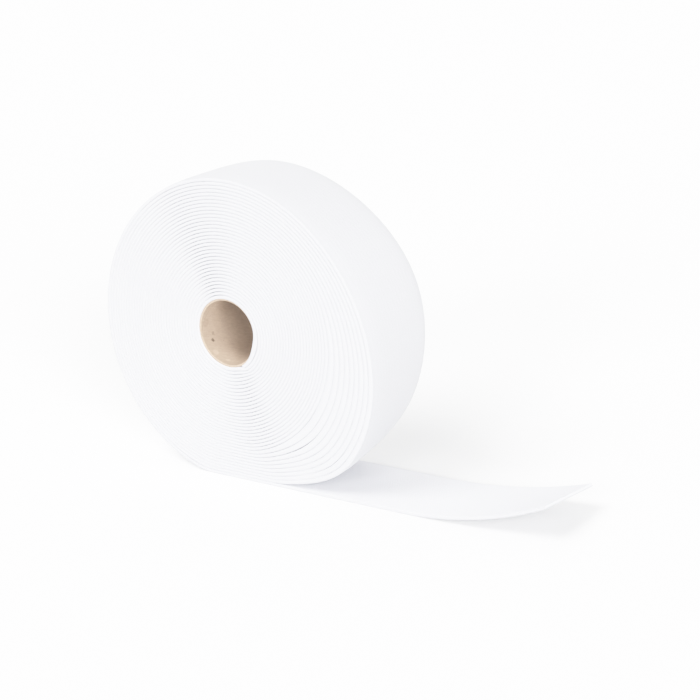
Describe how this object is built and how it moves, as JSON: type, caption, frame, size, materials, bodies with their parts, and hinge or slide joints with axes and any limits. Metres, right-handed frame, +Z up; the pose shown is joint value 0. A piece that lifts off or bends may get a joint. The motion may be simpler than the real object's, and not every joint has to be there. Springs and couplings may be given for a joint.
{
  "type": "roll of hook and loop tape",
  "caption": "White woven fastening tape wound on a thin paper core, standing on edge with its loose end run out flat and curling up at the cut.",
  "frame": {"origin": "on the surface that the roll stands on, straight under the roll's axis, at the middle of the tape's width", "axes": "+X along the loose end as it runs out, +Y along the roll's axis away from the face that shows, +Z up"},
  "size_m": [0.2773, 0.05, 0.1682],
  "materials": {
    "tape_weave": "matt white woven tape with a low napped face and plain selvedges",
    "core_paper": "matt brown unbleached paper, spirally wound, with dark and light flecks"
  },
  "bodies": {
    "root": {"core": "core_paper", "wound_tape": "tape_weave", "loose_end": "tape_weave"}
  },
  "joints": []
}
